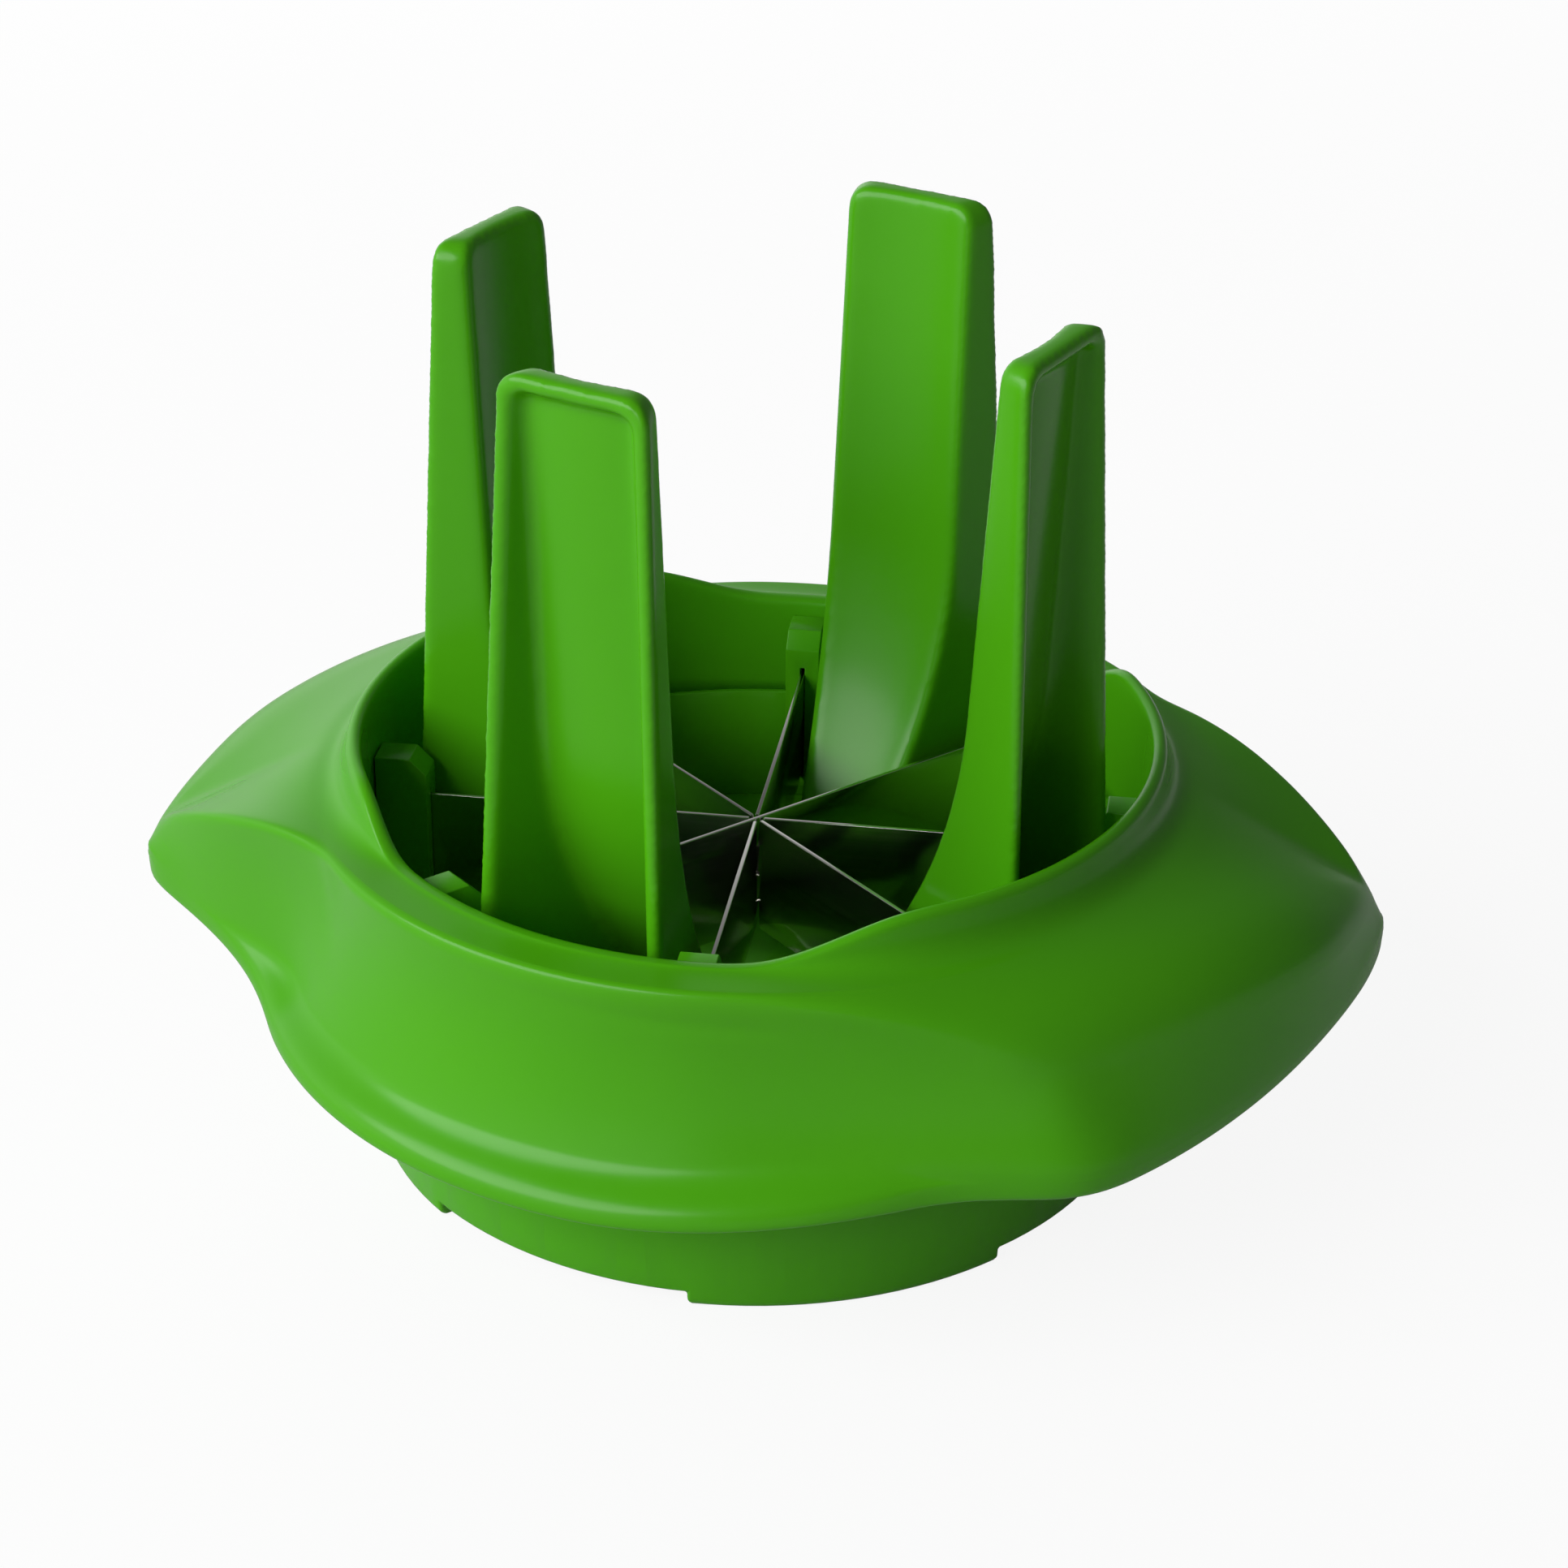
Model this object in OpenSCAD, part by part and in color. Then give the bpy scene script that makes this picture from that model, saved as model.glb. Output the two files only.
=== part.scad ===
// Citrus slicer: a winged cutter with a blade star, pushed down over a stand with four posts.
// Millimetres, +Z up. The origin is on the table, on the axis of the round well.
// The wing tips point along +X and -X.

/* [Stand] */
// Height of the deck above the table
deck_h = 17.7; // [12:0.1:30]
// Thickness of the deck
deck_t = 2.4; // [1.6:0.1:4]
// Diameter of the skirt on the table
skirt_foot_d = 93.4; // [86:0.1:94]
// Diameter of the skirt at the deck
skirt_top_d = 95.6; // [93:0.1:97]
// Wall of the skirt
skirt_wall = 2.4; // [1.6:0.1:4]
// Chamfer round the bottom of the skirt
foot_chamfer = 0.8; // [0.2:0.1:1.6]
// Height of the arches between the feet
arch_h = 2; // [0.5:0.1:6]
// Angle that each arch takes
arch_angle = 43; // [20:1:70]

/* [Posts] */
// Height of the posts above the deck
post_h = 89; // [60:0.5:110]
// Distance from the axis to the outer face at the deck
post_out_foot = 41.9; // [40:0.1:43]
// Distance from the axis to the outer face at the top
post_out_top = 38.6; // [36:0.1:41]
// Depth of the post at the middle of its top
post_top_depth = 3.4; // [3:0.1:8]
// Slope of the inner face above the cradle, in degrees
post_in_slope = 2.9; // [1:0.1:6]
// Half width of the outer face at the deck
post_half_foot = 13.4; // [10:0.1:13.6]
// Half width of the outer face at the top
post_half_top = 9.7; // [7:0.1:12]
// Slope of the side faces in plan, in degrees
post_side_angle = 18.5; // [12:0.1:20]
// Wall of the post
post_wall = 2; // [1.2:0.1:2.6]
// Radius of the rounded top corners
post_corner_r = 2.5; // [1:0.1:4]
// Radius of the curved cradle
cradle_r = 62; // [50:0.5:80]
// Height above the deck where the cradle curve starts
cradle_start_h = 46.5; // [40:0.5:52]
// Distance from the axis to the toe of the cradle
toe_r = 20; // [18:0.1:21]
// Rounding of the toe, seen from above
toe_round = 6; // [4:0.1:7]
// Diameter of the locating peg under the post
peg_d = 4; // [3:0.1:6]
// Distance from the axis to the peg
peg_r = 24; // [20:0.1:28]

/* [Post screws] */
// Diameter of the screw shank
screw_d = 3; // [2:0.1:4]
// Length of the shank
screw_l = 12; // [8:0.5:14]
// Diameter of the screw head
screw_head_d = 6; // [4.5:0.1:8]
// Height of the screw head
screw_head_h = 2.2; // [1.2:0.1:3]
// Distance from the axis to the screws
screw_r = 35; // [33:0.1:36]
// Diameter of the screw boss inside the post
boss_d = 7; // [5.5:0.1:8]

/* [Blades] */
// Thickness of the steel strip
blade_t = 0.5; // [0.3:0.05:0.8]
// Height of the strip
blade_h = 15; // [10:0.5:18]
// Gap between the deck and the cutting edges when the cutter is down
blade_gap = 6; // [3:0.5:10]
// Height of the ground bevel along the cutting edge
bevel_h = 1.6; // [0.5:0.1:3]
// Thickness left at the cutting edge
edge_t = 0.1; // [0.05:0.05:0.2]
// How far the strip ends reach into the ring lugs
blade_bite = 5; // [2:0.1:5.2]

/* [Blade ring] */
// Inner diameter of the ring
ring_d = 92; // [91:0.1:93]
// Wall of the ring
ring_wall = 2.6; // [1.6:0.1:2.8]
// Height of the ring
ring_h = 15.4; // [12:0.1:20]
// Width of a lug
lug_w = 4.4; // [3:0.1:5]
// How far a lug stands in from the ring
lug_depth = 6; // [4.6:0.1:6.4]
// Height of a lug above the top edges of the blades
lug_rise = 5.4; // [3:0.1:6]
// Bevel along the top of a lug
lug_bevel = 2; // [0.5:0.1:3]
// Height of the lug under the blades
lug_drop = 1.5; // [0.5:0.1:4]
// Open slot left above a blade in its lug
slot_rise = 0.8; // [0.2:0.1:2]

/* [Cutter shell] */
// Length over both wing tips
body_l = 151.6; // [146:0.2:166]
// Diameter of the well
well_d = 93.3; // [93.2:0.1:95]
// Thickness of the rim lip and the well wall
rim_t = 2.05; // [1.6:0.05:2.4]
// Height of the low rim above the blades
rim_h = 7.5; // [6.8:0.1:10]
// Extra height of the raised collar
collar_h = 5.2; // [2:0.1:9]
// How far the foot of the raised collar stands above the band
valley_rise = 0.2; // [0:0.1:3]
// Width of the fillet at the foot of the collar
collar_fillet = 4.2; // [2:0.1:5]
// How far the top band falls from the rim to the ridge
band_fall = 0.8; // [0:0.1:2]
// Width of the top band between the rim and the ridge, where it is narrowest
band_w = 5.5; // [4.5:0.1:8]
// How far the wing tip drops below the band
tip_drop = 11.3; // [6:0.1:14]
// How far the shoulder of the wing drops below the band before it reaches the tip
wing_drop = 2.3; // [0:0.1:5]
// Height of the edge at the wing tip
tip_edge_h = 8.2; // [5:0.1:9]
// Softness of the wing tip, seen from above
tip_soft = 3; // [0.5:0.1:4]
// Angle by which the wing tips swirl ahead of the blade line
tip_turn = 2.5; // [0:0.1:5]
// How far the foot of the wing tip stands out from its ridge
tip_rake = 2.4; // [0:0.1:3]
// Height of the lower lip above the deck
lip_lift = 1; // [0.4:0.1:4]
// How far the foot of the scoop stands out from the well wall
scoop_w = 7.1; // [6:0.1:9]
// How far the lower lip stands out from the scoop
lip_out = 4.6; // [2:0.1:5.5]
// Thickness of the lower lip
lip_t = 2.8; // [2:0.1:4]
// How far the top of the lip falls from the scoop to its edge
lip_fall = 2.2; // [0:0.1:4]
// How far the lower edge lifts where the lip ends
edge_lift = 2.8; // [0:0.1:4]
// Hollow of the scoop
scoop_depth = 3; // [1:0.1:3.4]
// Angle behind a wing tip from which the scoop runs straight on to the crease
scoop_end = 95.5; // [90:0.5:100]
// Swell of the wing's side, where a value below zero is a hollow
wing_swell = -1; // [-2:0.1:3]
// How far the lower edge stands out past the lip where the crease meets it
crest_out = 7.4; // [4:0.1:9]
// How far the side of the wing rolls in at its lower edge
wing_roll = 2.4; // [0.4:0.1:3]
// Rounding of the crease
crease_round = 0.8; // [0.4:0.1:2]
// Rounding of the ridge at the wing tip
ridge_round = 1.6; // [1:0.1:2.4]
// Rounding of the ridge at the end of the scoop
band_round = 4; // [2:0.1:5]
// Rounding of the shoulder on the full side of the wing
shoulder_round = 9; // [5:0.1:10]
// Wall of the shell
shell_wall = 2.2; // [1.6:0.1:2.4]

/* [Fits] */
// Clearance round a blade in its slot
blade_clear = 0.05; // [0.02:0.01:0.15]
// Clearance between the lugs and the well wall
lug_clear = 0.3; // [0.15:0.05:0.5]
// Clearance round the crossing blades at the middle
cross_clear = 0.2; // [0.1:0.05:0.4]
// Clearance round a screw in its hole
screw_clear = 0.1; // [0.05:0.05:0.3]
// Clearance round a peg in its hole
peg_clear = 0.15; // [0.05:0.05:0.3]

/* [Hidden] */

$fn = 96;
green = [0.26, 0.56, 0.11];
steel = [0.72, 0.74, 0.75];
cut = 1; // overshoot of a cutting body past the face that it cuts
big = 300; // larger than any piece

// Angles round the axis
n_blades = 4;
blade_step = 180 / n_blades;
n_posts = 4;
post_step = 360 / n_posts;
post_first = 1.5 * blade_step; // middle of every second gap between the blades

// Levels above the table
blade_z0 = deck_h + blade_gap;
blade_z1 = blade_z0 + blade_h;
ring_z1 = deck_h + ring_h;
post_z1 = deck_h + post_h;
rim_z0 = blade_z1 + rim_h;
band_z = rim_z0 - band_fall;

// Radii from the axis
skirt_foot_r = skirt_foot_d / 2;
skirt_top_r = skirt_top_d / 2;
ring_r = ring_d / 2;
lug_r = ring_r - lug_depth;
blade_r = lug_r + blade_bite;
well_r = well_d / 2;
rim_r = well_r + rim_t;
band_r = rim_r + band_w;
tip_r = body_l / 2 + tip_soft / 4; // the rounding takes the rest
scoop_foot_r = rim_r + scoop_w;
lip_r = scoop_foot_r + lip_out;
crest_r = lip_r + crest_out;

// Curve helpers: a stretch is [start, end]
function share(s, x) = min(1, max(0, (x - s[0]) / (s[1] - s[0])));
function rise(s, x) = let (t = share(s, x)) t * t * (3 - 2 * t);
function grow(s, power, x) = pow(share(s, x), power);
function fall(s, power, x) = pow(1 - share(s, x), power);
function bend_at(a, b, c, t) = (1 - t) * (1 - t) * a + 2 * t * (1 - t) * b + t * t * c;
function bend(a, b, c, n) = [for (i = [1:n]) bend_at(a, b, c, i / n)];
function line(a, b, n) = [for (i = [1:n]) a + (b - a) * i / n];
function toward(a, b, d) = a + (b - a) * min(longest_share, d / norm(b - a));
function soft_min(a, b, k) = min(a, b) - pow(max(k - abs(a - b), 0), 2) / (4 * k);
function soft_max(a, b, k) = -soft_min(-a, -b, k);

// The shell repeats every half turn. Its shape depends on the angle f behind a wing tip: the
// ridge spirals in from the tip to the band over the scoop and runs round the well. There the
// scoop leaves the well and runs straight on until it cuts the side of the next wing, which is
// the crease.
// Stretches of f over which each form comes or goes:
ridge_in = [0, 30];
ridge_up = [0, 26];
edge_in = [0, 24];
scoop_in = [2, 32];
lip_in = [6, 24];
collar_out = [24, 40];
soft_in = [45, 95];
edge_up = [78, 124];
collar_in = [96, 120];
wing_out = [97, 180];
shoulder_sink = [97, 125];
shoulder_soft_in = [97, 125];
shoulder_soft_out = [169, 180];
wing_top = [98, 112];
roll_in = [115, 135];
swell_off = [125, 165];
tip_sink = [135, 180];
wing_edge_out = [135, 180];
tip_in = [160, 180];

// How fast some of these forms come or go: 1 is straight, and more is slower at first
ridge_power = 1.35;
sink_power = 2;
wing_power = 1.25;
edge_power = 2.4;
wing_edge_power = 2;
edge_rise_power = 1.7;

// The rim, the top band and the shoulder
function collar(f) = max(rise(collar_in, f), 1 - rise(collar_out, f));
function rim_z(f) = rim_z0 + collar_h * collar(f);
function valley_z(f) = let (c = collar(f)) band_z + band_fall / 2 * (1 - c) + valley_rise * c;
function ridge_r(f) = band_r + (tip_r - tip_rake - band_r) * fall(ridge_in, ridge_power, f);
function wing_r(f) =
    band_r + (tip_r - band_r) * grow(wing_out, wing_power, f) - tip_rake * rise(tip_in, f);
function shoulder_r(f) = soft_min(max(ridge_r(f), wing_r(f)), tip_r - tip_rake, tip_soft);
function shoulder_z(f) = band_z - max(tip_drop * fall(ridge_up, sink_power, f),
    wing_drop * rise(shoulder_sink, f) + (tip_drop - wing_drop) * grow(tip_sink, sink_power, f));
function shoulder_soft(f) = ridge_round + (1 - rise(shoulder_soft_out, f)) * (
    (band_round - ridge_round) * rise(soft_in, f)
    + (shoulder_round - band_round) * rise(shoulder_soft_in, f));

// The lower edge and the foot of the scoop
function straight_on(f) = 1 / cos(min(max(0, f - scoop_end), steepest));
function tip_to(r, part) = soft_min(r + (tip_r - r) * part, tip_r, tip_soft);
function wing_edge_r(f) = tip_to(crest_r, grow(wing_edge_out, wing_edge_power, f));
function lip_edge_r(f) = tip_to(lip_r, fall(edge_in, edge_power, f));
function scoop_edge_r(f) = soft_max(lip_r, scoop_foot_r * straight_on(f), crease_round);
function crest_edge_r(f) = soft_min(wing_edge_r(f), scoop_edge_r(f), crease_round);
function edge_r(f) = f < scoop_end ? lip_edge_r(f) : crest_edge_r(f);
tip_edge_z = band_z - tip_drop - tip_edge_h;
lip_z = deck_h + lip_lift;
function edge_z(f) = lip_z + max((tip_edge_z - lip_z) * (1 - share(edge_in, f)),
    edge_lift * rise(edge_up, f) + (tip_edge_z - lip_z - edge_lift) * grow(tip_sink, edge_rise_power, f));
function edge_roll(f) = lip_round + (wing_roll - lip_round) * rise(roll_in, f) * (1 - rise(tip_in, f));
function root_r(f) = f < scoop_end ? edge_r(f) - lip_out * rise(lip_in, f)
    : min(edge_r(f), scoop_foot_r * straight_on(f));
function lip_share(f) = (edge_r(f) - root_r(f)) / lip_out;
function root_at(f) = [root_r(f), edge_z(f) + lip_t + root_lift + lip_fall * lip_share(f)];

// Radius of the scoop at the angle f and the height z. Past its end angle it runs straight on.
function scoop_r(f, z) = let (
        g = min(f, scoop_end),
        top = [shoulder_r(g), shoulder_z(g)],
        foot = root_at(g),
        mid_r = (top[0] + foot[0]) / 2 - scoop_depth * rise(scoop_in, g)
    ) bend_at(top[0], mid_r, foot[0], share([top[1], foot[1]], z)) * straight_on(f);

// Radius of the side at the angle f, where p is a point on the wing: the scoop cuts the wing
function crease_soft(f) = finest + crease_round * rise(wing_top, f);
function side_r(f, p) = f < scoop_end ? scoop_r(f, p[1]) : soft_min(p[0], scoop_r(f, p[1]), crease_soft(f));

// Section of the shell at the angle f: points [radius, height], from the foot of the well
// wall up over the rim, out to the shoulder, down to the lower edge and back along the inside
function section(f) = let (
        c = collar(f),
        half = rim_t / 2,
        lip_mid = [well_r + half, rim_z(f) - half],
        rim_out = [rim_r, rim_z(f) - half * c],
        valley = [rim_r + collar_fillet, valley_z(f)],
        shoulder = [shoulder_r(f), shoulder_z(f)],
        edge = [edge_r(f), edge_z(f)],
        root = root_at(f),
        lip = lip_share(f),
        roll = edge_roll(f),
        lip_top = edge[1] + lip_t,
        wing_root = [max(wing_edge_r(f), root[0]), root[1]],
        wing_mid = (shoulder + wing_root) / 2 + [wing_swell * (1 - rise(swell_off, f)), 0],
        side_z = wing_mid[1],
        scoop_mid = [2 * scoop_r(f, side_z) - (shoulder[0] + root[0]) / 2, side_z],
        soft = shoulder_soft(f),
        top_end = toward(shoulder, valley, soft),
        side_start = toward(shoulder, scoop_mid + (wing_mid - scoop_mid) * rise(wing_top, f), soft),
        inner_drop = shell_wall + soft * corner_share,
        inner_z = shoulder[1] - inner_drop,
        inner_shoulder = [min(shoulder[0] - inner_drop, scoop_r(f, inner_z) - shell_wall), inner_z],
        inner_foot = [root[0] - shell_wall - roll + lip_round, edge[1]],
        inner_half = side_r(f, bend_at(shoulder, wing_mid, wing_root, 1 / 2)) - shell_wall,
        inner_mid = [2 * inner_half - (inner_foot[0] + inner_shoulder[0]) / 2, side_z],
        under_rim = [rim_r, valley_z(f) - shell_wall],
        wall_foot = [rim_r, ring_z1]
    ) concat(
        [[well_r, ring_z1]],
        line([well_r, ring_z1], [well_r, lip_mid[1]], wall_steps),
        [for (a = [135, 90]) lip_mid + half * [cos(a), sin(a)]],
        [lip_mid + half * [cos(45), 1 - c * (1 - sin(45))]],
        [rim_out],
        bend(rim_out, [rim_r, valley[1]], valley, fillet_steps),
        line(valley, top_end, band_steps),
        [for (p = bend(top_end, shoulder, side_start, shoulder_steps)) [min(p[0], side_r(f, p)), p[1]]],
        [for (p = bend(side_start, wing_mid, wing_root, side_steps)) [side_r(f, p), p[1]]],
        bend(root, [root[0], lip_top + lip_fall * lip], [edge[0] - lip_round * lip, lip_top], lip_steps),
        bend([edge[0], lip_top - lip_round], edge, edge - [roll, 0], lip_steps),
        [inner_foot],
        bend(inner_foot, inner_mid, inner_shoulder, inner_steps),
        line(inner_shoulder, under_rim, wall_steps),
        [wall_foot]
    );

// Points along each part of the section
wall_steps = 2;
fillet_steps = 4;
band_steps = 5;
shoulder_steps = 6;
side_steps = 9;
lip_steps = 3;
inner_steps = 5;

root_lift = 1.6; // height of the fillet between the lip and the scoop
lip_round = 0.6; // rounding along the lip
corner_share = 0.3; // part of a rounding that the wall under it moves in by
longest_share = 0.75; // part of a line that a rounding may take up
steepest = 50; // the scoop has left the wing before it turns this far
finest = 0.1; // least rounding where two forms meet
half_turn_steps = 54;
tip_crowding = 0.35; // sections stand closer together near a wing tip
function step_angle(i) = let (t = i / half_turn_steps) 180 * (t - tip_crowding * sin(360 * t) / (2 * PI));

// Closed solid through a ring of sections
module loft(sections, angles) {
    n = len(sections);
    m = len(sections[0]);
    points = [for (i = [0:n - 1]) for (p = sections[i])
        [p[0] * cos(angles[i]), p[0] * sin(angles[i]), p[1]]];
    faces = [for (i = [0:n - 1]) for (j = [0:m - 1])
        let (
            a = i * m + j,
            b = i * m + (j + 1) % m,
            c = ((i + 1) % n) * m + (j + 1) % m,
            d = ((i + 1) % n) * m + j
        ) each [[a, c, b], [a, d, c]]];
    polyhedron(points, faces);
}

module cutter_shell() {
    steps = [for (turn = [0, 180]) for (i = [0:half_turn_steps - 1]) [step_angle(i), turn]];
    angles = [for (s = steps) s[0] + s[1] + tip_turn * pow(cos(s[0]), 2)];
    color(green) loft([for (s = steps) section(s[0])], angles);
}

// Outline of a lug beside its blade: x is the radius, y the height
module lug_outline() {
    lug_out = well_r - lug_clear;
    lug_top = blade_z1 + lug_rise;
    polygon([
        [lug_r, blade_z0 - lug_drop],
        [lug_r, lug_top - lug_bevel],
        [lug_r + lug_bevel, lug_top],
        [lug_out, lug_top],
        [lug_out, blade_z0 - lug_drop]
    ]);
}

module blade_ring() {
    slot_w = blade_t + 2 * blade_clear;
    color(green) difference() {
        union() {
            rotate_extrude() translate([ring_r, deck_h]) square([ring_wall, ring_h]);
            for (i = [0:2 * n_blades - 1]) rotate(i * blade_step)
                translate([0, lug_w / 2, 0]) rotate([90, 0, 0]) linear_extrude(lug_w) lug_outline();
        }
        for (i = [0:n_blades - 1]) rotate(i * blade_step)
            translate([-blade_r - blade_clear, -slot_w / 2, blade_z0])
                cube([2 * (blade_r + blade_clear), slot_w, blade_h + slot_rise]);
    }
}

// One blade: a strip with a ground lower edge, notched so that it keeps only its own level
// of the height where the strips cross
module blade(i) {
    level_h = blade_h / n_blades;
    half_cross = blade_t / sin(blade_step) + cross_clear;
    color(steel) rotate(i * blade_step) difference() {
        rotate([90, 0, 90]) translate([0, 0, -blade_r]) linear_extrude(2 * blade_r) polygon([
            [-edge_t / 2, blade_z0],
            [edge_t / 2, blade_z0],
            [blade_t / 2, blade_z0 + bevel_h],
            [blade_t / 2, blade_z1],
            [-blade_t / 2, blade_z1],
            [-blade_t / 2, blade_z0 + bevel_h]
        ]);
        for (k = [0:n_blades - 1]) if (k != blade_level(i))
            translate([-half_cross, -blade_t, blade_z0 + k * level_h - (k == 0 ? cut : 0)])
                cube([2 * half_cross, 2 * blade_t, level_h + (k == 0 || k == n_blades - 1 ? cut : 0)]);
    }
}
// The second blade lies on top, and the others follow below it
function blade_level(i) = (i + 2) % n_blades;

module blade_1() { blade(0); }
module blade_2() { blade(1); }
module blade_3() { blade(2); }
module blade_4() { blade(3); }

module stand_base() {
    foot_in = skirt_foot_r - skirt_wall;
    top_in = skirt_top_r - skirt_wall;
    color(green) difference() {
        rotate_extrude() polygon([
            [0, deck_h - deck_t],
            [top_in, deck_h - deck_t],
            [foot_in, 0],
            [skirt_foot_r - foot_chamfer, 0],
            [skirt_foot_r, foot_chamfer],
            [skirt_top_r, deck_h],
            [0, deck_h]
        ]);
        for (i = [0:n_posts - 1]) rotate(post_first + i * post_step) {
            arch();
            translate([peg_r, 0, deck_h - deck_t - cut])
                cylinder(d = peg_d + 2 * peg_clear, h = deck_t + 2 * cut);
            translate([screw_r, 0, deck_h - deck_t - cut])
                cylinder(d = screw_d + 2 * screw_clear, h = deck_t + 2 * cut);
        }
    }
}

// Room cut out of the skirt's lower edge between two feet
module arch() {
    far = skirt_foot_r * 2;
    half = far * tan(arch_angle / 2);
    translate([0, 0, -cut]) linear_extrude(arch_h + cut) polygon([[0, 0], [far, -half], [far, half]]);
}

// Wedge between the two leaning side faces of a post, with its top corners rounded, drawn in
// by a margin
module post_sides(margin, corner) {
    lean_run = post_half_foot - post_half_top - tan(post_side_angle) * (post_out_foot - post_out_top);
    lean = atan(lean_run * cos(post_side_angle) / post_h);
    top = post_h - margin;
    mid_z = top - corner;
    mid = [-tan(lean) * mid_z - (margin + corner) / cos(lean), mid_z];
    intersection_for (side = [0, 1]) mirror([0, side, 0])
        translate([post_out_foot, post_half_foot, deck_h]) rotate(post_side_angle)
            translate([-big / 2, 0, 0]) rotate([90, 0, 90]) linear_extrude(big) {
                translate(mid) circle(corner);
                polygon([
                    [-big, -big],
                    [tan(lean) * big - margin / cos(lean), -big],
                    mid + corner * [cos(lean), sin(lean)],
                    mid + [0, corner],
                    [-big, top]
                ]);
            }
}

// Room for the fruit between the posts, which gives them their inner faces: a cone above and a
// cradle below, turned about the axis and let out by a margin
post_in_top = post_out_top - post_top_depth;
cradle_start = [post_in_top - tan(post_in_slope) * (post_h - cradle_start_h), deck_h + cradle_start_h];
cradle_mid = cradle_start - cradle_r * [cos(post_in_slope), -sin(post_in_slope)];
module fruit_room(margin) {
    start = cradle_start + margin * [cos(post_in_slope), -sin(post_in_slope)];
    over = post_z1 + cut;
    rotate_extrude() {
        polygon([
            [0, start[1]],
            start,
            [start[0] + tan(post_in_slope) * (over - start[1]), over],
            [0, over]
        ]);
        square([toe_r + margin, start[1]]);
        intersection() {
            translate(cradle_mid) rotate(-post_in_slope) circle(cradle_r + margin);
            square([start[0], start[1]]);
        }
    }
}

// Solid between the room for the fruit and the outer face, drawn in by a margin on the inside,
// the top and the foot
module post_block(margin, outward) {
    difference() {
        translate([0, big / 2, 0]) rotate([90, 0, 0]) linear_extrude(big) polygon([
            [0, deck_h + margin],
            [post_out_foot + outward, deck_h + margin],
            [post_out_top + outward, post_z1 - margin],
            [0, post_z1 - margin]
        ]);
        fruit_room(margin);
    }
}

// Plan of a post with its rounded toe
module post_toe(margin) {
    mid = toe_r + toe_round;
    full = mid + toe_round / 4; // the plan has its full width from here on
    linear_extrude(big) hull() {
        translate([mid, 0]) circle(toe_round - margin);
        translate([full, -big / 2]) square(big);
    }
}

module post() {
    boss_h = screw_l + post_wall - deck_t;
    color(green) difference() {
        union() {
            difference() {
                intersection() {
                    post_block(0, 0);
                    post_sides(0, post_corner_r);
                    post_toe(0);
                }
                intersection() {
                    post_block(post_wall, cut);
                    post_sides(post_wall, post_corner_r - post_wall / 2);
                    post_toe(post_wall);
                }
            }
            translate([screw_r, 0, deck_h]) cylinder(d = boss_d, h = boss_h);
            translate([peg_r, 0, deck_h - deck_t]) cylinder(d = peg_d, h = deck_t + post_wall);
        }
        translate([screw_r, 0, deck_h - cut])
            cylinder(d = screw_d + 2 * screw_clear, h = screw_l - deck_t + cut);
    }
}

module placed_post(i) { rotate(post_first + i * post_step) post(); }
module post_1() { placed_post(0); }
module post_2() { placed_post(1); }
module post_3() { placed_post(2); }
module post_4() { placed_post(3); }

module post_screws() {
    color(steel) for (i = [0:n_posts - 1]) rotate(post_first + i * post_step)
        translate([screw_r, 0, deck_h - deck_t - screw_head_h]) {
            cylinder(d = screw_head_d, h = screw_head_h);
            cylinder(d = screw_d, h = screw_head_h + screw_l);
        }
}

cutter_shell();
blade_ring();
blade_1();
blade_2();
blade_3();
blade_4();
stand_base();
post_1();
post_2();
post_3();
post_4();
post_screws();
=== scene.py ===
import math

import bmesh
import bpy
from mathutils import Euler, Matrix, Vector


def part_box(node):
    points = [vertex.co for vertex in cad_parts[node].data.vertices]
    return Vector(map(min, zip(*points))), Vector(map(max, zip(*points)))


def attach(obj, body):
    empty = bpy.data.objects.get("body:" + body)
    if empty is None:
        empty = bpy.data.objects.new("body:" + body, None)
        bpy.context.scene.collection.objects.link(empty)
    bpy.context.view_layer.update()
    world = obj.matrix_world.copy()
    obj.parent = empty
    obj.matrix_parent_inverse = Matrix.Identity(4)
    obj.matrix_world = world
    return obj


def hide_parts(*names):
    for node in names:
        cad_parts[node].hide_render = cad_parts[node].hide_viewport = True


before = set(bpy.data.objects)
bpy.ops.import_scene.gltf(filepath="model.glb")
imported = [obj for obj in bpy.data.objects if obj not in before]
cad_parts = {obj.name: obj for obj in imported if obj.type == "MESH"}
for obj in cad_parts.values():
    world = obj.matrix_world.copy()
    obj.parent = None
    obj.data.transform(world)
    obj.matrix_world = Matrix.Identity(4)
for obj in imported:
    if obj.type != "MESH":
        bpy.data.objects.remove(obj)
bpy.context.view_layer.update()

# Camera
# A long lens on a tripod, a little to the right of the front and looking down on the blades.
# It aims past the middle of the blade star, so that the whole slicer sits low in the picture.
mm = 0.001
picture_px = 1932
focal_px = 4447.2
sensor_mm = 36.0
nearest_seen = 10 * mm
camera_turn = math.radians(7.87)
camera_rise = math.radians(27.6)
camera_roll = math.radians(0.62)
camera_far = 434.2 * mm
camera_right = 3.30 * mm
camera_up = 4.03 * mm
star_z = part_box("blade_2")[1].z

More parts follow.
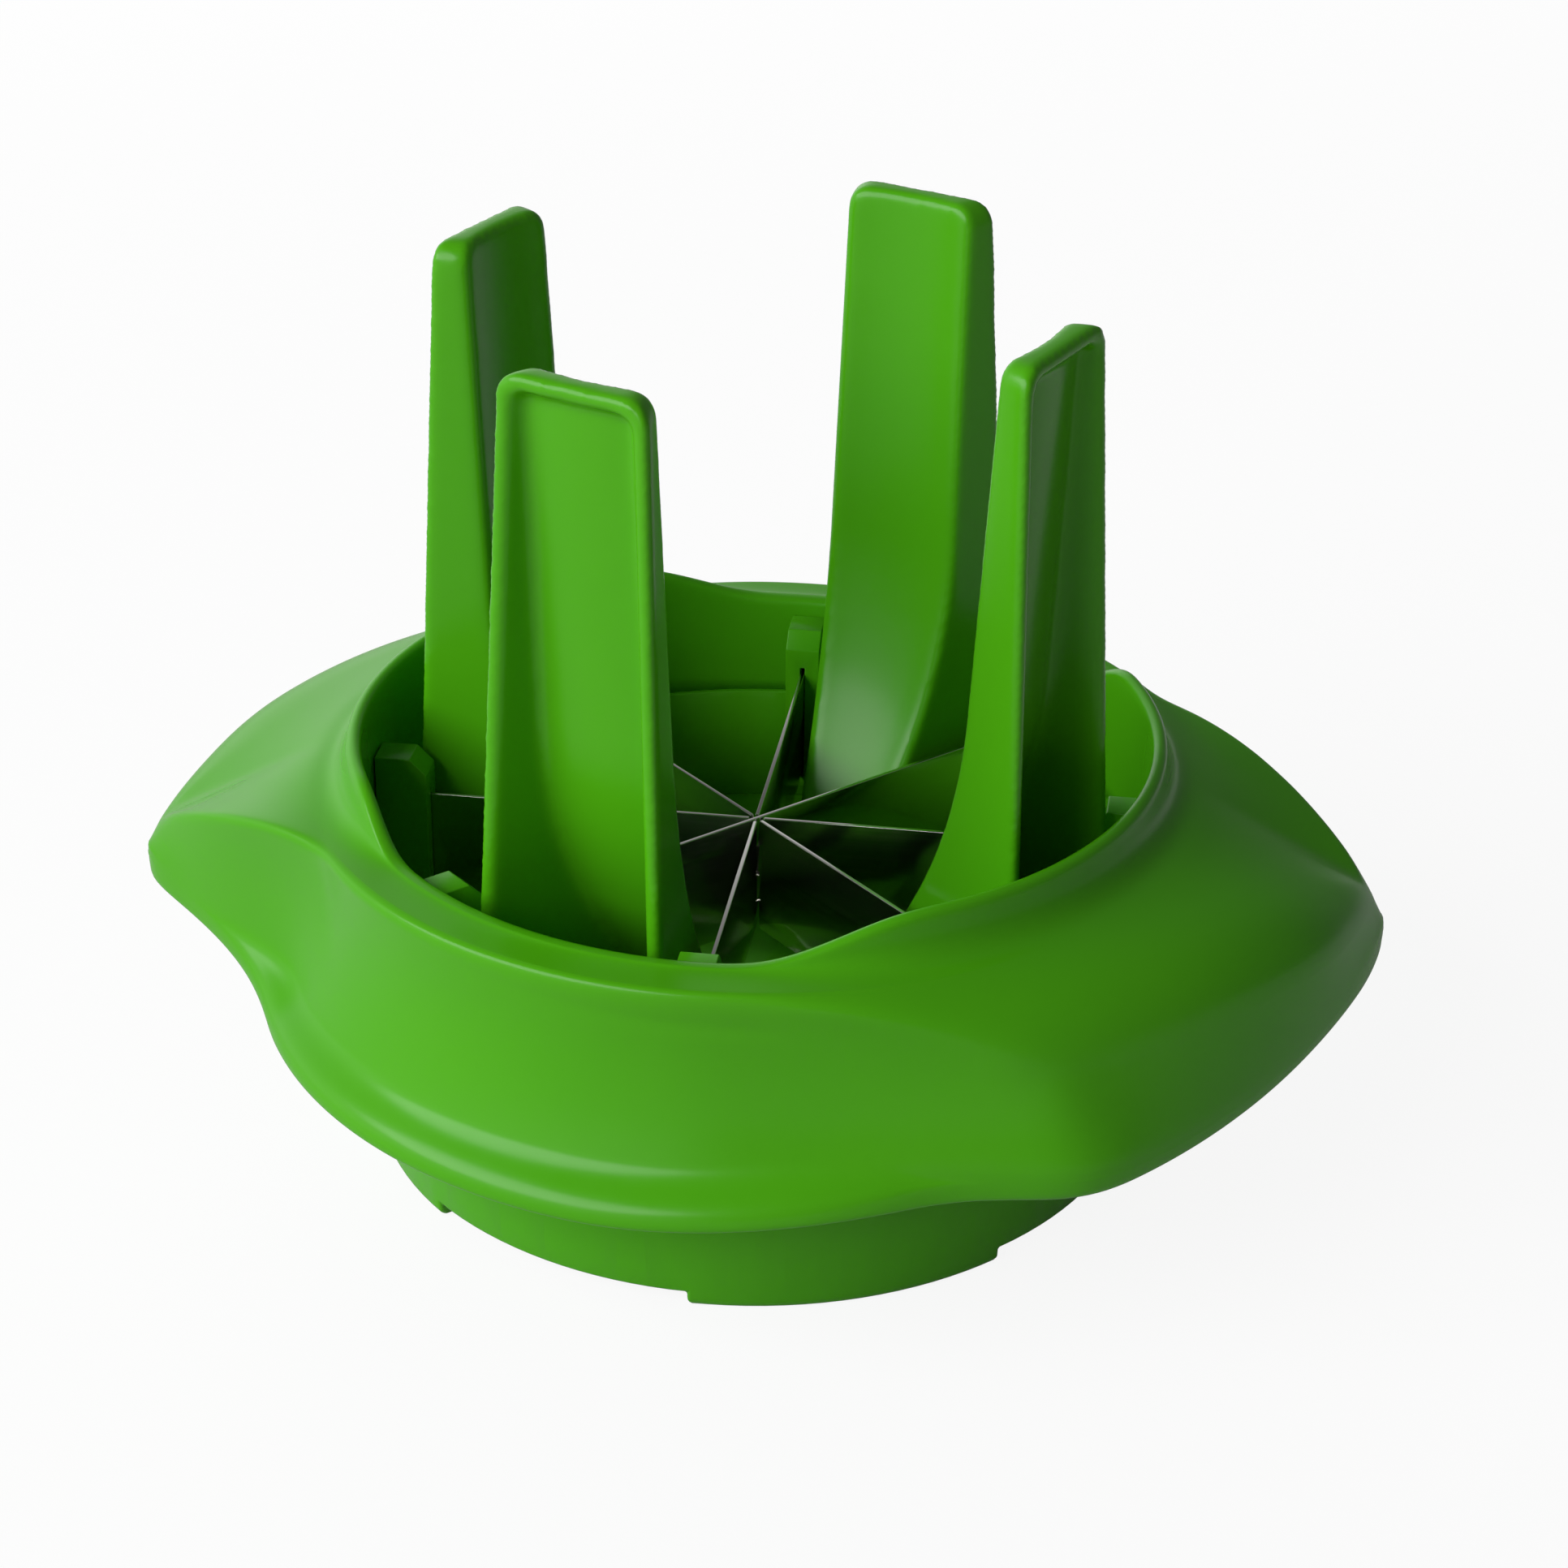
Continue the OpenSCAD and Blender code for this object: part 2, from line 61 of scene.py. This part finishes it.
toward_camera = Vector((
    math.sin(camera_turn) * math.cos(camera_rise),
    -math.cos(camera_turn) * math.cos(camera_rise),
    math.sin(camera_rise),
))
level_right = Vector((math.cos(camera_turn), math.sin(camera_turn), 0))
level_up = toward_camera.cross(level_right)
picture_right = math.cos(camera_roll) * level_right + math.sin(camera_roll) * level_up
picture_up = toward_camera.cross(picture_right)
camera_data = bpy.data.cameras.new("camera")
camera_data.sensor_width = sensor_mm
camera_data.lens = sensor_mm * focal_px / picture_px
camera_data.clip_start = nearest_seen
camera = bpy.data.objects.new("camera", camera_data)
bpy.context.scene.collection.objects.link(camera)
camera_place = (
    Vector((0, 0, star_z)) + camera_far * toward_camera
    + camera_right * picture_right + camera_up * picture_up
)
camera_axes = Matrix((picture_right, picture_up, toward_camera)).transposed()
camera.matrix_world = Matrix.Translation(camera_place) @ camera_axes.to_4x4()
bpy.context.scene.camera = camera


# Stand base
# A shallow round tray, upside down: a deck on a skirt that stands on four feet between low
# arches. It is one moulding in polished green plastic, and its edges are a little rounded.
weld = 0.02 * mm
flat_angle = math.radians(0.5)
edge_angle = math.radians(30)
base_round = 0.5 * mm
green = (0.060, 0.334, 0.0035)
pale_green = (0.072, 0.366, 0.005)
flow_marks = {"scale": 34.0, "detail": 3.0}
specks = {"scale": 1400.0, "detail": 2.0}
scuffs = {"scale": 260.0, "detail": 4.0, "roughness": 0.65}
ripples = {"scale": 420.0, "detail": 2.0}
ripple_strength = 0.05
ripple_height = 0.15 * mm
polish = 0.18
scuff_dulling = 0.09
speck_dulling = 0.03
plastic_ior = 1.49
plastic_gloss = 0.24


class Wire:
    """An output in a material's node tree. Operators on wires and numbers add Math nodes."""

    def __init__(self, tree, socket=None):
        self.tree = tree
        self.socket = socket

    def node(self, kind, settings=None, inputs=None, output=0):
        """Adds a node: its settings come first, then the values or wires of its sockets."""
        made = self.tree.nodes.new(kind)
        for key, value in (settings or {}).items():
            setattr(made, key, value)
        for key, value in (inputs or {}).items():
            if isinstance(value, Wire):
                self.tree.links.new(value.socket, made.inputs[key])
            else:
                made.inputs[key].default_value = value
        return Wire(self.tree, made.outputs[output] if made.outputs else None)

    def maths(self, operation, first, second):
        return self.node("ShaderNodeMath", {"operation": operation}, {0: first, 1: second})

    def __add__(self, other):
        return self.maths("ADD", self, other)

    def __radd__(self, other):
        return self.maths("ADD", other, self)

    def __rsub__(self, other):
        return self.maths("SUBTRACT", other, self)

    def __mul__(self, other):
        return self.maths("MULTIPLY", self, other)

    def __rmul__(self, other):
        return self.maths("MULTIPLY", other, self)

    def blend(self, first, second):
        """A colour between two, by this wire's value."""
        return self.node(
            "ShaderNodeMix", {"data_type": "RGBA"}, {0: self, 6: first, 7: second}, output=2
        )


def new_material(name):
    """A node material with no nodes yet, and a wire to build them from."""
    material = bpy.data.materials.new(name)
    material.use_nodes = True
    material.node_tree.nodes.clear()
    return material, Wire(material.node_tree)


def piece_place(start):
    """Where a point lies on its piece, in metres."""
    return start.node("ShaderNodeTexCoord", output="Object")


def noise(start, place, scale, detail, roughness=0.5):
    """A noise with values from 0 to 1, about 0.5 on average."""
    return start.node(
        "ShaderNodeTexNoise", {},
        {"Vector": place, "Scale": scale, "Detail": detail, "Roughness": roughness},
    )


def opaque(colour):
    return (*colour, 1.0)


def green_plastic():
    """Polished moulded plastic: soft flow marks in the colour, a faint ripple, fine scuffs."""
    material, start = new_material("green_plastic")
    place = piece_place(start)
    flow = noise(start, place, **flow_marks)
    speck = noise(start, place, **specks)
    scuff = noise(start, place, **scuffs)
    ripple = noise(start, place, **ripples)
    relief = start.node("ShaderNodeBump", {}, {
        "Height": ripple, "Strength": ripple_strength, "Distance": ripple_height,
    })
    surface = start.node("ShaderNodeBsdfPrincipled", {}, {
        "Base Color": flow.blend(opaque(green), opaque(pale_green)),
        "Roughness": polish + scuff_dulling * scuff + speck_dulling * speck,
        "Normal": relief,
        "IOR": plastic_ior,
        "Specular IOR Level": plastic_gloss,
    })
    start.node("ShaderNodeOutputMaterial", {}, {"Surface": surface})
    return material


def moulded_copy(node, body, material):
    """Stands for a CAD node: a merged copy of its mesh with smooth curved faces."""
    shape = bmesh.new()
    shape.from_mesh(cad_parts[node].data)
    bmesh.ops.remove_doubles(shape, verts=shape.verts, dist=weld)
    bmesh.ops.dissolve_limit(
        shape, angle_limit=flat_angle, verts=shape.verts, edges=shape.edges
    )
    for face in shape.faces:
        face.smooth = True
    mesh = bpy.data.meshes.new(node + "_finish")
    shape.to_mesh(mesh)
    shape.free()
    mesh.materials.append(material)
    piece = bpy.data.objects.new(node + "_finish", mesh)
    bpy.context.scene.collection.objects.link(piece)
    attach(piece, body)
    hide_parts(node)
    return piece


def round_edges(piece, edge_round, segments):
    """Rounds a piece's sharp edges to a radius."""
    rounding = piece.modifiers.new("rounding", "BEVEL")
    rounding.width = edge_round
    rounding.segments = segments
    rounding.limit_method = "ANGLE"
    rounding.angle_limit = edge_angle
    rounding.use_clamp_overlap = False
    rounding.harden_normals = True


plastic = green_plastic()
base = moulded_copy("stand_base", "stand", plastic)
round_edges(base, base_round, segments=3)


# Posts
# Four guide posts, hollow on the outer side and curved at the foot to cradle the fruit.
# Each is a separate green moulding with soft edges, fixed on the deck by a peg and a screw.
post_grain = 0.4 * mm
softening_steps = 18
softening_share = 0.5
grid_tilt = Euler((0.52, 0.41, 0.31)).to_matrix().to_4x4()


def soften(piece, grain):
    """Gives a piece an even fine mesh and rounds its edges and corners softly.

    The grid lies askew to the piece, so that no long edge runs along it and gets steps.
    """
    sharp = piece.data
    sharp.transform(grid_tilt)
    for turn in ("first", "second"):
        even = piece.modifiers.new(turn + "_mesh", "REMESH")
        even.mode = "VOXEL"
        even.voxel_size = grain
        even.use_smooth_shade = True
        soft = piece.modifiers.new(turn + "_softening", "SMOOTH")
        soft.factor = softening_share
        soft.iterations = softening_steps
    made = piece.evaluated_get(bpy.context.evaluated_depsgraph_get())
    piece.data = bpy.data.meshes.new_from_object(made)
    piece.data.transform(grid_tilt.inverted())
    piece.modifiers.clear()
    bpy.data.meshes.remove(sharp)


for node in ("post_1", "post_2", "post_3", "post_4"):
    post = moulded_copy(node, "stand", plastic)
    soften(post, post_grain)


# Post screws
# Four plain steel screws, driven up through the deck into the posts from below.
# Only their heads show, under the base.
screw_round = 0.25 * mm
screw_colour = (0.60, 0.60, 0.61)
screw_rough = 0.30
scratch_stretch = (60.0, 60.0, 2600.0)
scratches = {"scale": 1.0, "detail": 3.0, "roughness": 0.6}
clouds = {"scale": 90.0, "detail": 2.0}
scratch_share = 0.6
scratch_shade = 0.82
scratch_dulling = 0.12
scratch_strength = 0.05
scratch_height = 0.01 * mm


def brushed_steel(name, colour, rough):
    """Ground steel: fine scratches that vary the colour and the gloss."""
    material, start = new_material(name)
    place = piece_place(start)
    drawn = start.node("ShaderNodeMapping", {}, {"Vector": place, "Scale": scratch_stretch})
    scratch = noise(start, drawn, **scratches)
    cloud = noise(start, place, **clouds)
    dark = tuple(scratch_shade * part for part in colour)
    shine = scratch_share * scratch + (1 - scratch_share) * cloud
    relief = start.node("ShaderNodeBump", {}, {
        "Height": scratch, "Strength": scratch_strength, "Distance": scratch_height,
    })
    surface = start.node("ShaderNodeBsdfPrincipled", {}, {
        "Base Color": shine.blend(opaque(dark), opaque(colour)),
        "Roughness": rough + scratch_dulling * scratch,
        "Normal": relief,
        "Metallic": 1.0,
    })
    start.node("ShaderNodeOutputMaterial", {}, {"Surface": surface})
    return material


screw_steel = brushed_steel("screw_steel", screw_colour, screw_rough)
screws = moulded_copy("post_screws", "stand", screw_steel)
round_edges(screws, screw_round, segments=3)


# Blade ring
# The lower ring of the cutter's well, with a slotted lug for each end of a blade.
# It is moulded in the same green plastic round the blades and welded to the shell above.
ring_round = 0.15 * mm
ring = moulded_copy("blade_ring", "cutter", plastic)
round_edges(ring, ring_round, segments=2)


# Blades
# Four strips of ground steel that cross in the middle, each notched to pass the others.
# Their lower edges are sharpened on both sides, and their ends are moulded into the ring.
blade_round = 0.06 * mm
blade_colour = (0.66, 0.65, 0.62)
blade_rough = 0.08
blade_steel = brushed_steel("blade_steel", blade_colour, blade_rough)
for node in ("blade_1", "blade_2", "blade_3", "blade_4"):
    blade = moulded_copy(node, "cutter", blade_steel)
    round_edges(blade, blade_round, segments=2)


# Cutter shell
# The winged body of the cutter: two wings swirl out of a raised rim, with a scoop and a lower
# lip on their leading sides. It is one thin shell, moulded in the same polished plastic, and
# the foot of its well wall stays sharp where it is welded to the ring.
shell_levels = 2
joint_z = 33.1 * mm
shape = bmesh.new()
shape.from_mesh(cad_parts["cutter_shell"].data)
bmesh.ops.remove_doubles(shape, verts=shape.verts, dist=weld)
bmesh.ops.join_triangles(
    shape, faces=shape.faces, angle_face_threshold=math.pi, angle_shape_threshold=math.pi
)
crease = shape.edges.layers.float.new("crease_edge")
for edge in shape.edges:
    if all(abs(vert.co.z - joint_z) < weld for vert in edge.verts):
        edge[crease] = 1.0
for face in shape.faces:
    face.smooth = True
mesh = bpy.data.meshes.new("cutter_shell_finish")
shape.to_mesh(mesh)
shape.free()
mesh.materials.append(plastic)
shell = bpy.data.objects.new("cutter_shell_finish", mesh)
bpy.context.scene.collection.objects.link(shell)
smoothing = shell.modifiers.new("smoothing", "SUBSURF")
smoothing.levels = shell_levels
smoothing.render_levels = shell_levels
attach(shell, "cutter")
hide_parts("cutter_shell")


# Floor
# A wide paper sheet that the slicer stands on. It is white where the camera sees it and keeps
# a faint shadow, and it sends only a part of the light back up under the wings.
floor_half = 3.0
paper_grain = {"scale": 300.0, "detail": 3.0}
lit_greys = (0.58, 0.62)
seen_greys = (0.90, 0.94)
seen_white = 0.90
mirrored_white = 0.03
white = (1.0, 1.0, 1.0, 1.0)


def grey_paper(grain, greys):
    """The paper's colour, between a darker and a lighter grey."""
    darker, lighter = (opaque((grey, grey, grey)) for grey in greys)
    return grain.blend(darker, lighter)


def light_path(start, question):
    """1 where a ray answers the Light Path node's question with yes, and 0 elsewhere."""
    return start.node("ShaderNodeLightPath", output=question)


floor_shape = bmesh.new()
bmesh.ops.create_grid(floor_shape, x_segments=1, y_segments=1, size=floor_half)
floor_mesh = bpy.data.meshes.new("floor")
floor_shape.to_mesh(floor_mesh)
floor_shape.free()
floor = bpy.data.objects.new("floor", floor_mesh)
bpy.context.scene.collection.objects.link(floor)
paper, start = new_material("white_sheet")
grain = noise(start, piece_place(start), **paper_grain)
seen = light_path(start, "Is Camera Ray")
shone = light_path(start, "Is Glossy Ray")
through = light_path(start, "Is Transmission Ray")
sheet = start.node("ShaderNodeBsdfDiffuse", {}, {
    "Color": seen.blend(grey_paper(grain, lit_greys), grey_paper(grain, seen_greys)),
})
glow = start.node("ShaderNodeEmission", {}, {"Color": white, "Strength": 1.0})
white_share = seen_white * seen + mirrored_white * shone + mirrored_white * through
start.node("ShaderNodeOutputMaterial", {}, {
    "Surface": start.node("ShaderNodeMixShader", {}, {0: white_share, 1: sheet, 2: glow}),
})
floor_mesh.materials.append(paper)


# Light
# A large soft lamp at the front left, and a weak low one behind that leaves no highlights.
# The studio round them is pale low down on the left, dark on the right and white when seen.
lamp_aim = Vector((0, 0, 40 * mm))
studio_dark = 0.06
studio_pale = 0.90
pale_up_to = {"From Min": 0.15, "From Max": 0.90, "To Min": 1.0, "To Max": 0.0}
pale_left_of = {"From Min": -0.35, "From Max": 0.05, "To Min": 1.0, "To Max": 0.04}
seen_level = 0.95
mirrored_extra = 0.05
scattered_extra = 0.03


def soft_lamp(name, place, wide, high, watts):
    """An oval lamp that faces the slicer."""
    lamp_data = bpy.data.lights.new(name, "AREA")
    lamp_data.shape = "ELLIPSE"
    lamp_data.size = wide
    lamp_data.size_y = high
    lamp_data.energy = watts
    lamp = bpy.data.objects.new(name, lamp_data)
    lamp.location = place
    lamp.rotation_euler = (Vector(place) - lamp_aim).to_track_quat("Z", "Y").to_euler()
    bpy.context.scene.collection.objects.link(lamp)
    return lamp


def fade(start, value, limits):
    """A soft step along a value."""
    return start.node(
        "ShaderNodeMapRange", {"interpolation_type": "SMOOTHSTEP"}, {"Value": value, **limits}
    )


soft_lamp("key_lamp", place=(-0.85, -0.71, 0.72), wide=1.7, high=0.8, watts=17.6)
back_lamp = soft_lamp("back_lamp", place=(-0.25, 1.10, 0.26), wide=1.2, high=0.4, watts=8.0)
back_lamp.visible_glossy = False
world = bpy.data.worlds.new("studio")
world.use_nodes = True
world.node_tree.nodes.clear()
bpy.context.scene.world = world
start = Wire(world.node_tree)
direction = start.node("ShaderNodeTexCoord", output="Generated")
across = start.node("ShaderNodeSeparateXYZ", {}, {0: direction}, output="X")
height = start.node("ShaderNodeSeparateXYZ", {}, {0: direction}, output="Z")
low = fade(start, height, pale_up_to)
left = fade(start, across, pale_left_of)
studio = studio_dark + studio_pale * low * left
seen = light_path(start, "Is Camera Ray")
shone = light_path(start, "Is Glossy Ray")
through = light_path(start, "Is Transmission Ray")
spread = light_path(start, "Is Diffuse Ray")
level = (
    studio + (seen_level - studio) * seen
    + mirrored_extra * shone + mirrored_extra * through + scattered_extra * spread
)
start.node("ShaderNodeOutputWorld", {}, {
    "Surface": start.node("ShaderNodeBackground", {}, {"Color": white, "Strength": level}),
})
bpy.context.scene.view_settings.view_transform = "Standard"
